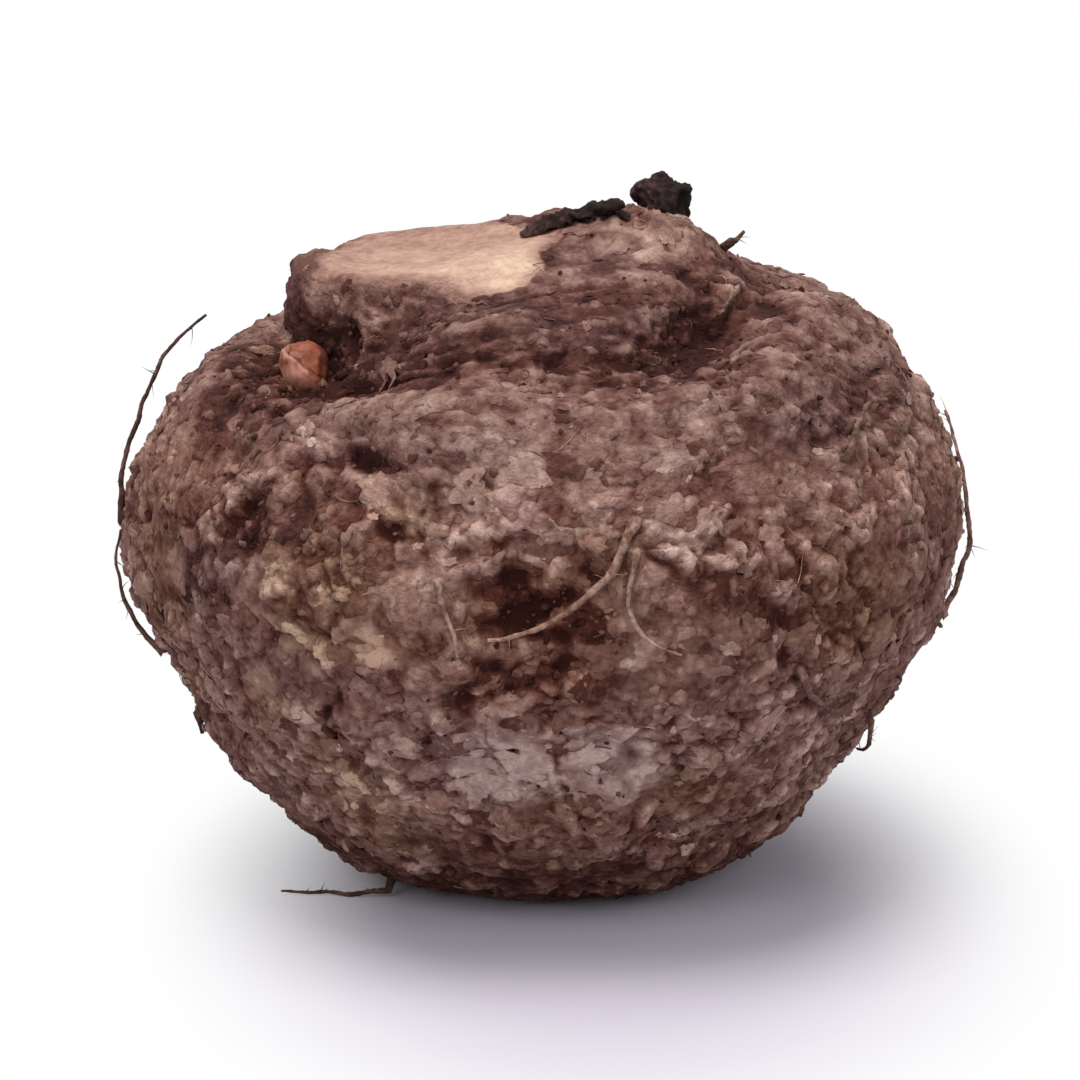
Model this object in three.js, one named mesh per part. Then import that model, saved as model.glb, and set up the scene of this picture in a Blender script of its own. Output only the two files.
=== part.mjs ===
// Elephant foot yam: one whole corm, about 205 mm wide, resting on its base.
// Units are millimetres, +Z is up, and the front of the corm faces -Y.
// The corm is one squat solid: a rough rounded body, a shoulder ridge, a groove, and a crown with a
// worn leaf scar on its left and a heap of old leaf base on its right. The bud, the withered leaf
// base and the dry roots are pieces of their own, each set a hair off the skin that it grew from.
import * as THREE from "three";
import { mergeVertices } from "three/addons/utils/BufferGeometryUtils.js";

// ---- Driving dimensions ----
const BODY_RADIUS = 102.5; // widest ring, before the depth is squeezed
const BODY_DEPTH_RATIO = 0.96; // front to back against side to side
const BELLY_HEIGHT = 83; // height of the widest ring
const BASE_RADIUS = 34; // flat patch that the corm rests on
const RIDGE_RADIUS = 79; // shoulder ridge round the crown
const RIDGE_HEIGHT = 135;
const CROWN_HEIGHT = 158; // top of the crown's dome, under the scar and the heap

const CORM_DETAIL = 21; // icosphere splits: 20 * (detail + 1)^2 faces
const CROWN_FINENESS = 3.2; // how much smaller the faces are above the shoulder
const TOUCH_GAP = 0.4; // gap between pieces that touch

const GROOVE_RADIUS = 67;
const GROOVE_FORWARD = 3.5; // how far the groove's ring is shifted to the front
const GROOVE_WIDTH = 9.5;
const GROOVE_DEPTH = 11;
const GROOVE_TURN = { from: -82, to: -22, inward: 17 }; // where the groove winds in, right of the front
const CROWN_LEAN = 0.06; // rise of the crown per millimetre towards +X

const SCAR = { x: -29.5, y: 0, radius: 29.5, height: 158.5, rim: 6.5, dish: 1.5, lean: 0.04 };
const HEAP = { x: 22, y: 10, radius: 38, height: 7.5 };
const FILL = { azimuth: 20, halfAngle: 72, height: 4.5 }; // right of the crown, where the groove is filled

const SKIN_NOISE = [
  { cell: 46, height: 2.6 },
  { cell: 19, height: 1.5 },
  { cell: 10, height: 0.8 },
];

// Local hollows (negative) and swellings (positive) of the skin.
const LUMPS = [
  { at: [-2, -98, 92], radius: 22, height: -4.5 }, // dark hollow in the front
  { at: [20, -90, 52], radius: 20, height: -1.6 }, // scuffed flat, low on the front
  { at: [34, -94, 100], radius: 20, height: 2.0 }, // swelling beside the hollow
  { at: [-58, -27, 133], radius: 15, height: -7.0 }, // notch that holds the bud
  { at: [-84, 0, 130], radius: 26, height: -3.0 }, // low left shoulder
  { at: [-96, 0, 112], radius: 24, height: -2.2 },
  { at: [66, 14, 142], radius: 26, height: -2.6 }, // low right shoulder
  { at: [40, -34, 140], radius: 15, height: -4.0 }, // deep of the groove, right front
  { at: [-20, -70, 134], radius: 38, height: 10 }, // high front of the shoulder ridge
  { at: [-42, -60, 130], radius: 22, height: 3.0 }, // its left end, below the bud
  { at: [26, -68, 137], radius: 28, height: 4.5 }, // its right front
  { at: [52, -60, 137], radius: 24, height: 3.5 },
  { at: [-84, -30, 50], radius: 30, height: -2.4 }, // flat lower left
  { at: [58, 70, 60], radius: 32, height: -2.6 }, // flat at the back
  { at: [-50, 80, 86], radius: 24, height: 2.8 }, // swelling at the back
  { at: [90, -30, 62], radius: 22, height: 2.0 }, // swelling on the right
];

// Roots over the body. A stop is [azimuth in degrees, height, gap between skin and root]; azimuth 0
// is +X, -90 the front. Each starts where it grew from the skin.
const BODY_ROOTS = {
  root_left_long: {
    radius: 0.75,
    stops: [[182, 89, 0], [182, 98, 2], [181, 106, 4], [180, 114, 5.8], [179, 121, 7.2], [178, 130, 9]],
  },
  root_left_short: {
    radius: 0.7,
    stops: [[184, 87, 0], [184, 81, 1.2], [185, 72, 2], [186, 63, 1.8], [187, 57, 0.3]],
  },
  root_front_curl: {
    radius: 1.1,
    stops: [[-78, 111, 0], [-80, 104, 0.6], [-82, 98, 0.8], [-88, 89, 1], [-94, 85, 0.8], [-98, 84.5, 0.2]],
  },
  root_front_hook: {
    radius: 0.9,
    stops: [[-77.7, 105, 0], [-79, 93.6, 0.5], [-76, 83.4, 0.7], [-72, 81, 0.2]],
  },
  root_front_fork: {
    radius: 0.8,
    stops: [[-104, 99, 0], [-103, 92, 0.6], [-101.5, 86, 0.6], [-101, 80, 0.1]],
  },
  root_left_spur: {
    radius: 1.0,
    stops: [[188, 42, 0], [188, 39.5, 1.2], [187.5, 37.5, 2.6]],
  },
  root_shoulder_right: {
    radius: 0.8,
    stops: [[-42, 118, 0], [-38, 124, 0.8], [-31, 127, 1.2], [-24, 126, 0.3]],
  },
  root_front_right: {
    radius: 0.85,
    stops: [[-54, 72, 0], [-50, 64, 0.8], [-44, 59, 1.1], [-37, 59, 0.3]],
  },
  root_right_long: {
    radius: 0.8,
    stops: [[-10, 68, 0], [-5, 76, 1.4], [1, 88, 2.2], [8, 100, 2.6], [13, 108, 4.5]],
  },
  root_right_low: {
    radius: 0.75,
    stops: [[-22, 46, 0], [-17, 40, 1.2], [-11, 34, 1.8], [-4, 31, 0.5]],
  },
  root_back_short: {
    radius: 0.9,
    stops: [[42, 78, 0], [38, 72, 1.6], [33, 68, 3.4]],
  },
  root_back_loop: {
    radius: 0.75,
    stops: [[73, 94, 0], [80, 101, 1.6], [89, 101, 2.6], [96, 92, 2.2], [97, 80, 0.4]],
  },
  root_back_trail: {
    radius: 0.8,
    stops: [[121, 64, 0], [126, 55, 1], [130, 44, 1.6], [131, 33, 1.4], [128, 23, 0.4]],
  },
  root_back_left: {
    radius: 0.7,
    stops: [[150, 104, 0], [153, 98, 0.9], [158, 93, 1.5], [164, 92, 0.6]],
  },
};

// Roots that lie on the ground beside the base, by their own points.
const GROUND_ROOTS = {
  root_floor_left: {
    radius: 0.75,
    points: [[-38, -33, 2.0], [-46, -34, 1.1], [-54, -32.5, 0.9], [-61, -31.5, 0.9], [-66, -33.5, 1.5]],
  },
  root_floor_back: {
    radius: 0.75,
    points: [[33, 36, 2.0], [40, 42, 1.1], [47, 50, 0.9], [50, 60, 0.9], [47, 69, 0.9]],
  },
};

const CROWN_SPUR = { x: 47, y: 12, radius: 1.0, length: 4.5, gap: TOUCH_GAP };
const BUD = { x: -60, y: -28, width: 10.5, length: 13, gap: 0.9 };
const LEAF_STUB = { x: 30, y: 17, width: 13, height: 9.5, gap: 0.6 };
const SHEATH_RIM = { from: -4, to: 21, y: 9, bend: 3, height: 3.2, thickness: 4, gap: 0.9 };

const COLOURS = {
  skin: 0x6e5048,
  bud: 0xb5694a,
  deadLeaf: 0x3a2a27,
  root: 0x6b5347,
};

// ---- Small maths ----
const DEGREES = Math.PI / 180;
const clamp01 = (t) => Math.min(1, Math.max(0, t));
const smoothstep = (low, high, t) => {
  const s = clamp01((t - low) / (high - low));
  return s * s * (3 - 2 * s);
};
const mix = (a, b, t) => a + (b - a) * t;
const bell = (t) => (Math.abs(t) < 1 ? (1 - t * t) ** 2 : 0);
const gauss = (t) => Math.exp(-t * t);
const angleBetween = (a, b) => Math.abs(((a - b + 540) % 360) - 180); // degrees

// The t from 0 to 1 at which a rising function reaches a value, by halving.
function reaching(value, rising) {
  let [low, high] = [0, 1];
  for (let i = 0; i < 40; i++) {
    const middle = (low + high) / 2;
    if (rising(middle) < value) low = middle;
    else high = middle;
  }
  return (low + high) / 2;
}

// Pseudo-random number from 0 to 1 for a lattice corner.
function cornerValue(i, j, k) {
  const s = Math.sin(i * 127.1 + j * 311.7 + k * 74.7) * 43758.5453;
  return s - Math.floor(s);
}

// Smooth noise from -1 to 1, one lattice cell per unit.
function noise(x, y, z) {
  const [i, j, k] = [x, y, z].map(Math.floor);
  const [u, v, w] = [x - i, y - j, z - k].map((t) => t * t * (3 - 2 * t));
  const along = (jj, kk) => mix(cornerValue(i, jj, kk), cornerValue(i + 1, jj, kk), u);
  const layer = (kk) => mix(along(j, kk), along(j + 1, kk), v);
  return 2 * mix(layer(k), layer(k + 1), w) - 1;
}

// ---- The corm's outline, from the centre of its base to the top of its crown ----
const at = (radius, height) => new THREE.Vector2(radius, height);
const outline = new THREE.SplineCurve([
  at(0, 0),
  at(BASE_RADIUS * 0.5, 0),
  at(BASE_RADIUS, 0),
  at(BODY_RADIUS * 0.46, BELLY_HEIGHT * 0.04),
  at(BODY_RADIUS * 0.65, BELLY_HEIGHT * 0.2),
  at(BODY_RADIUS * 0.82, BELLY_HEIGHT * 0.47),
  at(BODY_RADIUS * 0.95, BELLY_HEIGHT * 0.77),
  at(BODY_RADIUS, BELLY_HEIGHT),
  at(BODY_RADIUS * 0.985, BELLY_HEIGHT * 1.21),
  at(BODY_RADIUS * 0.91, BELLY_HEIGHT * 1.43),
  at(RIDGE_RADIUS + 6, RIDGE_HEIGHT - 6),
  at(RIDGE_RADIUS, RIDGE_HEIGHT),
  at(GROOVE_RADIUS, mix(RIDGE_HEIGHT, CROWN_HEIGHT, 0.32)),
  at(GROOVE_RADIUS * 0.68, mix(RIDGE_HEIGHT, CROWN_HEIGHT, 0.72)),
  at(GROOVE_RADIUS * 0.4, mix(RIDGE_HEIGHT, CROWN_HEIGHT, 0.93)),
  at(0, CROWN_HEIGHT),
]);

// The outline in short steps, each with the share of the mesh's faces that lies below it.
const STEPS = 600;
const steps = outline.getSpacedPoints(STEPS);
const shareBelow = [0];
for (let i = 1; i <= STEPS; i++) {
  const band = ((steps[i].x + steps[i - 1].x) / 2) * steps[i].distanceTo(steps[i - 1]);
  const fineness = mix(1, CROWN_FINENESS, smoothstep(RIDGE_HEIGHT - 20, RIDGE_HEIGHT, steps[i].y));
  shareBelow.push(shareBelow[i - 1] + band * fineness);
}
shareBelow.forEach((total, i) => (shareBelow[i] = total / shareBelow[STEPS]));

// The outline's point and outward normal where `share` of the faces lies below.
function onOutline(share) {
  let [low, high] = [0, STEPS];
  while (high - low > 1) {
    const middle = (low + high) >> 1;
    if (shareBelow[middle] <= share) low = middle;
    else high = middle;
  }
  const t = clamp01((share - shareBelow[low]) / (shareBelow[high] - shareBelow[low]));
  const along = steps[high].clone().sub(steps[low]).normalize();
  return {
    point: steps[low].clone().lerp(steps[high], t),
    normal: at(along.y, -along.x),
  };
}

// ---- The corm's surface ----
// How far a place on the crown lies in the part where the groove is filled, from 0 to 1.
function filledAt(x, y) {
  const azimuth = Math.atan2(y, x) / DEGREES;
  return bell(angleBetween(azimuth, FILL.azimuth) / FILL.halfAngle);
}

// How far a place belongs to the leaf scar, from 0 to 1.
function scarAt(x, y) {
  const reach = Math.hypot(x - SCAR.x, y - SCAR.y);
  return 1 - smoothstep(SCAR.radius, SCAR.radius + SCAR.rim, reach);
}

// Vertical rise of the crown over the plain outline, at a place above the shoulder.
function crownRise(x, y, height) {
  const nearGroove = gauss((Math.hypot(x, y) - GROOVE_RADIUS) / (2 * GROOVE_WIDTH));
  const fill = FILL.height * filledAt(x, y) * nearGroove;
  const heap = HEAP.height * bell(Math.hypot(x - HEAP.x, y - HEAP.y) / HEAP.radius);
  const dish = SCAR.dish * bell(Math.hypot(x - SCAR.x, y - SCAR.y) / SCAR.radius);
  const scar = SCAR.height + SCAR.lean * (x - SCAR.x) - dish;
  return mix(height + fill + heap, scar, scarAt(x, y)) - height;
}

// Depth of the groove round the crown: uneven, none at the scar, and little where it is filled.
function grooveDepth(x, y) {
  const azimuth = Math.atan2(y, x) / DEGREES;
  const { from, to, inward } = GROOVE_TURN;
  const turned = smoothstep(from, to, azimuth) * (1 - smoothstep(to, to + 60, azimuth));
  const across = (Math.hypot(x, y + GROOVE_FORWARD) - GROOVE_RADIUS + inward * turned) / GROOVE_WIDTH;
  const uneven = 1 + 0.3 * noise(x / 30, y / 30, 4.5);
  return GROOVE_DEPTH * gauss(across) * (1 - 0.85 * filledAt(x, y)) * (1 - scarAt(x, y)) * uneven;
}

// Swelling of the skin over the plain outline. The scar stays nearly smooth.
function swellAt(p) {
  const roughness = 1 - 0.8 * scarAt(p.x, p.y) * smoothstep(RIDGE_HEIGHT, CROWN_HEIGHT, p.z);
  let swell = 0;
  for (const [i, { cell, height }] of SKIN_NOISE.entries()) {
    swell += roughness * height * noise(p.x / cell + 7.3 * i, p.y / cell - 3.1 * i, p.z / cell);
  }
  for (const { at: centre, radius, height } of LUMPS) {
    swell += height * bell(p.distanceTo(new THREE.Vector3(...centre)) / radius);
  }
  return swell;
}

// The point of the skin in a direction from the corm's middle, given as a unit vector.
function skinPoint(direction) {
  const { point, normal } = onOutline((1 + direction.z) / 2);
  const level = Math.hypot(direction.x, direction.y) || 1;
  const [across, deep] = [direction.x / level, direction.y / level];
  const p = new THREE.Vector3(point.x * across, point.x * deep, point.y);
  const n = new THREE.Vector3(normal.x * across, normal.x * deep, normal.y);
  const offGround = smoothstep(0.5, 14, p.z);
  const onCrown = smoothstep(RIDGE_HEIGHT - 22, RIDGE_HEIGHT + 2, p.z);
  const groove = onCrown * grooveDepth(p.x, p.y);
  const rise = onCrown * crownRise(p.x, p.y, p.z);
  p.addScaledVector(n, swellAt(p) * offGround - groove);
  p.z += rise + CROWN_LEAN * p.x * smoothstep(BELLY_HEIGHT, CROWN_HEIGHT, p.z);
  p.z = Math.max(0, p.z);
  p.y *= BODY_DEPTH_RATIO;
  return p;
}

function skinFacing(azimuth, share) {
  const z = 2 * clamp01(share) - 1;
  const level = Math.sqrt(1 - z * z);
  const angle = azimuth * DEGREES;
  return skinPoint(new THREE.Vector3(level * Math.cos(angle), level * Math.sin(angle), z));
}

// The skin's point and outward normal at an azimuth in degrees and a share of the faces below it.
function skinAt(azimuth, share) {
  const east = skinFacing(azimuth + 1, share).sub(skinFacing(azimuth - 1, share));
  const up = skinFacing(azimuth, share + 0.005).sub(skinFacing(azimuth, share - 0.005));
  return { point: skinFacing(azimuth, share), normal: east.cross(up).normalize() };
}

const RIDGE_SHARE = shareBelow[steps.findIndex((p) => p.y >= RIDGE_HEIGHT)];

// The skin of the body, below the ridge, at an azimuth and a height.
function bodySkin(azimuth, height) {
  const share = RIDGE_SHARE * reaching(height, (t) => skinFacing(azimuth, t * RIDGE_SHARE).z);
  return skinAt(azimuth, share);
}

// The skin of the crown, inside the ridge, over a place in plan.
function crownSkin(x, y) {
  const azimuth = Math.atan2(y / BODY_DEPTH_RATIO, x) / DEGREES;
  const inward = (t) => mix(RIDGE_SHARE, 1, t);
  const t = reaching(-Math.hypot(x, y), (s) => {
    const p = skinFacing(azimuth, inward(s));
    return -Math.hypot(p.x, p.y);
  });
  return skinAt(azimuth, inward(t));
}

// ---- Geometry ----
// A closed mesh round an icosphere, each vertex moved by `place`.
function wrapped(detail, place) {
  const sphere = new THREE.IcosahedronGeometry(1, detail);
  sphere.deleteAttribute("normal");
  sphere.deleteAttribute("uv");
  const geometry = mergeVertices(sphere, 1e-5);
  const position = geometry.getAttribute("position");
  for (let i = 0; i < position.count; i++) {
    const direction = new THREE.Vector3().fromBufferAttribute(position, i).normalize();
    position.setXYZ(i, ...place(direction).toArray());
  }
  geometry.computeVertexNormals();
  return geometry;
}

// A root: a closed tube with flat ends that thins towards its tip.
function rootAlong(points, radius) {
  const [sides, ringSpacing, tip] = [6, 4, 0.45];
  const curve = new THREE.CatmullRomCurve3(points);
  const rings = Math.max(4, Math.round(curve.getLength() / ringSpacing));
  const frames = curve.computeFrenetFrames(rings);
  const vertices = [];
  for (let i = 0; i <= rings; i++) {
    const centre = curve.getPointAt(i / rings);
    const thick = radius * mix(1, tip, i / rings);
    for (let j = 0; j < sides; j++) {
      const angle = (2 * Math.PI * j) / sides;
      const edge = centre
        .clone()
        .addScaledVector(frames.normals[i], thick * Math.cos(angle))
        .addScaledVector(frames.binormals[i], thick * Math.sin(angle));
      vertices.push(...edge.toArray());
    }
  }
  const faces = [];
  for (let i = 0; i < rings; i++) {
    for (let j = 0; j < sides; j++) {
      const [a, b] = [i * sides + j, i * sides + ((j + 1) % sides)];
      faces.push(a, b, b + sides, a, b + sides, a + sides);
    }
  }
  const last = rings * sides;
  for (let j = 1; j < sides - 1; j++) {
    faces.push(0, j + 1, j, last, last + j, last + j + 1);
  }
  const geometry = new THREE.BufferGeometry();
  geometry.setAttribute("position", new THREE.Float32BufferAttribute(vertices, 3));
  geometry.setIndex(faces);
  geometry.computeVertexNormals();
  return geometry;
}

// The points of a root that follows the body's skin through its stops.
function overBody(stops, radius) {
  const inStops = new THREE.CatmullRomCurve3(stops.map((stop) => new THREE.Vector3(...stop)));
  return inStops.getPoints(4 * stops.length).map(({ x: azimuth, y: height, z: gap }) => {
    const { point, normal } = bodySkin(azimuth, height);
    return point.addScaledVector(normal, Math.max(0, gap) + radius + TOUCH_GAP);
  });
}

// Turns a geometry from standing on the ground plane to standing on the crown's skin.
function onCrownSkin(geometry, { x, y, gap }) {
  const { point, normal } = crownSkin(x, y);
  const turn = new THREE.Quaternion().setFromUnitVectors(new THREE.Vector3(0, 0, 1), normal);
  const foot = point.addScaledVector(normal, gap);
  return geometry.applyQuaternion(turn).translate(...foot.toArray());
}

// A plump bud with a blunt tip and a round foot, standing up from the ground plane.
function budGeometry() {
  const { width, length } = BUD;
  return wrapped(4, (d) => {
    const taper = 1 - 0.2 * d.z;
    return new THREE.Vector3(d.x * taper * width, d.y * taper * width, (d.z + 1) * length).divideScalar(2);
  });
}

// A crumpled knob of withered leaf base, standing on its flat foot.
function leafStubGeometry() {
  const { width, height } = LEAF_STUB;
  return wrapped(5, (d) => {
    const crumple = 1 + 0.28 * noise(d.x * 2.1, d.y * 2.1, d.z * 2.1 + 3);
    const foot = Math.max(d.z * crumple, -0.3);
    const round = (crumple * width) / 2;
    return new THREE.Vector3(d.x * round, d.y * round, ((foot + 0.3) * height) / 1.3);
  });
}

// A low torn wall of old leaf sheath that bends along the back of the crown.
function sheathRimGeometry() {
  const { from, to, y, bend, height, thickness, gap } = SHEATH_RIM;
  return wrapped(5, (d) => {
    const x = mix(from, to, (d.x + 1) / 2);
    const { point } = crownSkin(x, y - bend * d.x * d.x);
    const torn = 1 + 0.35 * noise(d.x * 7, 1.5, 0.5) * clamp01(d.z);
    const foot = Math.max(d.z, -0.4) + 0.4;
    point.y += (d.y * thickness) / 2;
    point.z += gap + (foot * torn * height) / 1.4;
    return point;
  });
}

// ---- Assembly ----
const surface = (name, colour, roughness) =>
  new THREE.MeshStandardMaterial({ name, color: colour, roughness, metalness: 0 });
const surfaces = {
  skin: surface("skin", COLOURS.skin, 0.9),
  bud: surface("bud", COLOURS.bud, 0.5),
  deadLeaf: surface("dead_leaf", COLOURS.deadLeaf, 0.95),
  root: surface("root", COLOURS.root, 0.85),
};

const yam = new THREE.Group();
function add(name, geometry, material) {
  const mesh = new THREE.Mesh(geometry, material);
  mesh.name = name;
  yam.add(mesh);
}

add("corm", wrapped(CORM_DETAIL, skinPoint), surfaces.skin);
add("side_bud", onCrownSkin(budGeometry(), BUD), surfaces.bud);
add("leaf_base_stub", onCrownSkin(leafStubGeometry(), LEAF_STUB), surfaces.deadLeaf);
add("leaf_sheath_rim", sheathRimGeometry(), surfaces.deadLeaf);
for (const [name, { radius, stops }] of Object.entries(BODY_ROOTS)) {
  add(name, rootAlong(overBody(stops, radius), radius), surfaces.root);
}
for (const [name, { radius, points }] of Object.entries(GROUND_ROOTS)) {
  add(name, rootAlong(points.map((p) => new THREE.Vector3(...p)), radius), surfaces.root);
}
const spurPoints = [0, 0.5, 1].map((t) => new THREE.Vector3(0.6 * t * t, 0, CROWN_SPUR.length * t));
add("root_crown_spur", onCrownSkin(rootAlong(spurPoints, CROWN_SPUR.radius), CROWN_SPUR), surfaces.root);

// The origin is under the middle of the whole object's box.
const box = new THREE.Box3().setFromObject(yam);
const middle = box.getCenter(new THREE.Vector3());
yam.position.set(-middle.x, -middle.y, 0);

export default yam;
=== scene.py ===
"""The looks of the elephant foot yam: knobbly skin, bark, bud, withered leaf and dry roots.

Lengths are in metres, in the CAD part's own frame: +Z up, the front facing -Y.
"""

import heapq
import math
from collections import namedtuple
from functools import partial

import bmesh
import bpy
import numpy as np
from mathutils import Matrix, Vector
from mathutils.bvhtree import BVHTree


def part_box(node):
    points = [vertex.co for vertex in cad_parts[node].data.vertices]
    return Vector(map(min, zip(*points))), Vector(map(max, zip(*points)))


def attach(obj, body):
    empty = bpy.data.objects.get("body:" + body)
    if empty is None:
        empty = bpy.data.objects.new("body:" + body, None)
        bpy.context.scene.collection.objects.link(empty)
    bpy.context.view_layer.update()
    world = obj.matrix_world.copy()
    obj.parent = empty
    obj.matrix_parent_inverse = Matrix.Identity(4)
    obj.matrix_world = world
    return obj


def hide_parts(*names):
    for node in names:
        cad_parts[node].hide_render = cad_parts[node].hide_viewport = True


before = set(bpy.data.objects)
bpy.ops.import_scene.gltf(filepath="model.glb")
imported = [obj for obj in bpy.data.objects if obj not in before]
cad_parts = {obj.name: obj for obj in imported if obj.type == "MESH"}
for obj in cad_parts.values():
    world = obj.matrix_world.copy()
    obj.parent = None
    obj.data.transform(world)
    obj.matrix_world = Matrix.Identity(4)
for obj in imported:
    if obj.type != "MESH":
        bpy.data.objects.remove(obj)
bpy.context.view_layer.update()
MM = 0.001
SEED = 7000
LOWEST = (-math.inf, -math.inf, 0)  # no point of a mesh is under the ground

# ---- Places on the corm, as in the CAD part ----
SCAR_CENTRE = np.array([-26, -0.5]) * MM
SCAR_REACH = np.array([29, 30]) * MM  # across and front to back
SCAR_TURN = math.radians(-18)
SCAR_SQUARENESS = 4.5  # 2 is an oval, more is closer to a rectangle
SCAR_LOWEST = 151.5 * MM
TORN_RIMS = [[(-1, 8, 160), (3, 7, 161), (6, 8, 163)], [(12, 5, 163), (16, 6, 164), (21, 10, 165)]]  # in mm
CROWN_CENTRE = np.array([-8, -2]) * MM
NECK_RADIUS = 60 * MM
NECK_LOWEST = 128 * MM
RIDGE_LOWEST = 112 * MM

# Patches of skin. A row is x, y, z and the reach across and up in millimetres, and then the qualities that
# head its group: how many millimetres it is sunk, and how much paler, warmer, greyer, more olive or calmer
# it is than the rest. The paler amounts are the skin's own colour and also painted shade: dark amounts in
# the sunk pits, slits and hollows are painted shade, and those round the bud are partly painted shade.
PATCHES = {}
PATCHES["sunk pale warm"] = [
    (-3, -95, 92, 21, 13, 2.2, -0.16, 0.9),  # hollow inside the curled root, its dark partly painted shade
    (-73, -34, 126, 18, 13, 0.8, -0.46, 1),  # dark red, left of the bud, partly painted shade under the neck
    (-62, -44, 129, 17, 8, 1, -0.44, 0.7),  # round the bud
    (8, -94, 88, 15, 9, 1.2, -0.14, 0.6), (-6, -93, 73, 26, 10, 2, -0.24, 0.7),
    (-30, -92, 82, 12, 6, 1.2, -0.12, 0.4), (7, -90, 63, 8, 3, 0.6, -0.26, 0.3),
    (-73, -14, 130, 12, 8, 0.8, -0.46, 0.6), (-66, -46, 127, 12, 8, 0.6, -0.36, 0.6),
    (-52, -43, 129, 14, 5, 0.6, -0.3, 0.4), (-67, -31, 132, 9, 9, 0.8, -0.4, 0.8),
    (-60, -38, 130, 7, 6, 1.6, -0.3, 0.4), (-71, 2, 131, 12, 12, 0.6, -0.4, 0.6),
    (-68, -15, 132, 15, 9, 0.6, -0.4, 0.8), (-57, -22, 141, 10, 6, 1.6, -0.4, 0.6),
    (-41, -78, 122, 12, 4, 1.6, -0.26, 0.3), (-35, -88, 108, 8, 4, 1.8, -0.3, 0.3),
    (-70, -67, 104, 9, 10, 1.8, -0.34, 0.4), (20, 92, 60, 26, 15, 1.8, -0.16, 0.4),
]
PATCHES["sunk pale"] = [
    (35, -20, 153, 5, 4, 1.2, -0.36),  # painted shade in the pits where the groove ends
    (-50, -78, 56, 5, 9, 2.6, -0.42),  # painted shade in slits and pits
    (34, -60, 139, 15, 5, 1.2, -0.36), (-48, -42, 130, 15, 6, 1, -0.4), (-49, -29, 137, 8, 9, 3.2, -0.75),
    (-6, -57, 145, 15, 7, 0.6, -0.2), (39, -20, 148, 6, 4, 1.4, -0.36), (36, -30, 144, 7, 5, 1.6, -0.36),
    (32, -42, 142, 7, 5, 1.6, -0.4), (26, -51, 142, 9, 4, 1.4, -0.34), (37, -51, 139, 11, 5, 1.6, -0.44),
    (43, -57, 140, 9, 5, 1.2, -0.34), (38, -58, 138, 14, 4, 0.8, -0.34), (43, -16, 147, 13, 9, -4.2, 0.26),
    (-8, -86, 52, 3, 3, 1, -0.3), (77, -40, 129, 7, 5, 2.4, -0.4), (42, -17, 147, 8, 6, -1.6, 0.26),
]
PATCHES["sunk pale grey"] = [
    (-42, -30, 145, 6, 5, -1, 0.26, 0.3), (-20, -42, 144, 22, 5, 0.8, -0.16, 0.8),
    (10, -46, 148, 34, 5, 0.8, -0.1, 0.8), (64, -58, 128, 17, 9, 0.6, -0.12, 0.6),
]
PATCHES["sunk pale olive"] = [
    (55, -23, 146, 9, 4, 1.4, -0.36, 0.6),
]
PATCHES["pale"] = [
    (-54, -64, 126, 10, 4, 0.34),  # light on the brow of the ridge
    (-47, -43, 129, 9, 6, -0.36), (-9, -85, 133, 12, 6, -0.16), (13, -95, 89, 8, 5, 0.26),
    (-47, -69, 43, 7, 5, 0.22), (28, -73, 36, 8, 6, 0.22), (-77, -63, 84, 8, 9, -0.2),
    (-62, -78, 96, 7, 10, 0.2), (-89, -45, 87, 9, 8, 0.22), (-75, -52, 116, 11, 7, -0.16),
    (-45, -82, 112, 8, 9, -0.18), (-40, -29, 149, 16, 5, 0.2), (53, -33, 144, 8, 6, -0.2),
    (-54, -15, 145, 9, 5, 0.2), (38, -55, 136, 9, 5, -0.2), (-33, -87, 110, 9, 7, -0.3),
    (-54, -76, 115, 9, 6, -0.28), (-9, -92, 112, 10, 6, 0.22), (22, -92, 112, 12, 5, 0.18),
    (-38, -90, 85, 11, 6, 0.2), (-12, -92, 66, 13, 5, 0.2), (10, -88, 54, 9, 5, 0.16),
    (-16, -57, 138, 20, 5, -0.12), (-46, -66, 42, 9, 6, 0.2), (-61, -77, 96, 7, 8, 0.12),
    (-40, -84, 115, 5, 5, 0.14), (-55, -77, 61, 9, 7, 0.2), (-36, -55, 18, 17, 9, 0.26),
    (23, -95, 81, 9, 7, 0.2), (32, -90, 104, 22, 13, -0.14), (-28, -84, 53, 11, 13, -0.22),
    (-17, -90, 61, 9, 5, 0.12), (8, -93, 113, 20, 9, 0.04), (-5, -86, 129, 34, 9, 0.14),
]
PATCHES["pale grey"] = [
    (-17, -34, 152, 30, 7, 0.08, 0.5),  # streaks on the neck
    (-80, -56, 88, 17, 17, -0.18, 0.7),  # dark stains
    (-14, -88, 57, 15, 6, 0.2, 0.6), (14, -88, 57, 12, 5, 0.14, 0.6), (-73, -66, 98, 10, 10, -0.2, 0.5),
    (-61, -74, 109, 13, 10, -0.26, 0.4), (-56, -80, 70, 20, 9, -0.04, 0.4), (-35, -94, 92, 5, 5, 0.36, 0.4),
    (31, -82, 124, 7, 5, 0.32, 0.6), (58, -62, 131, 5, 4, 0.3, 0.6), (33, -88, 108, 16, 10, 0.1, 0.3),
]
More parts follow.
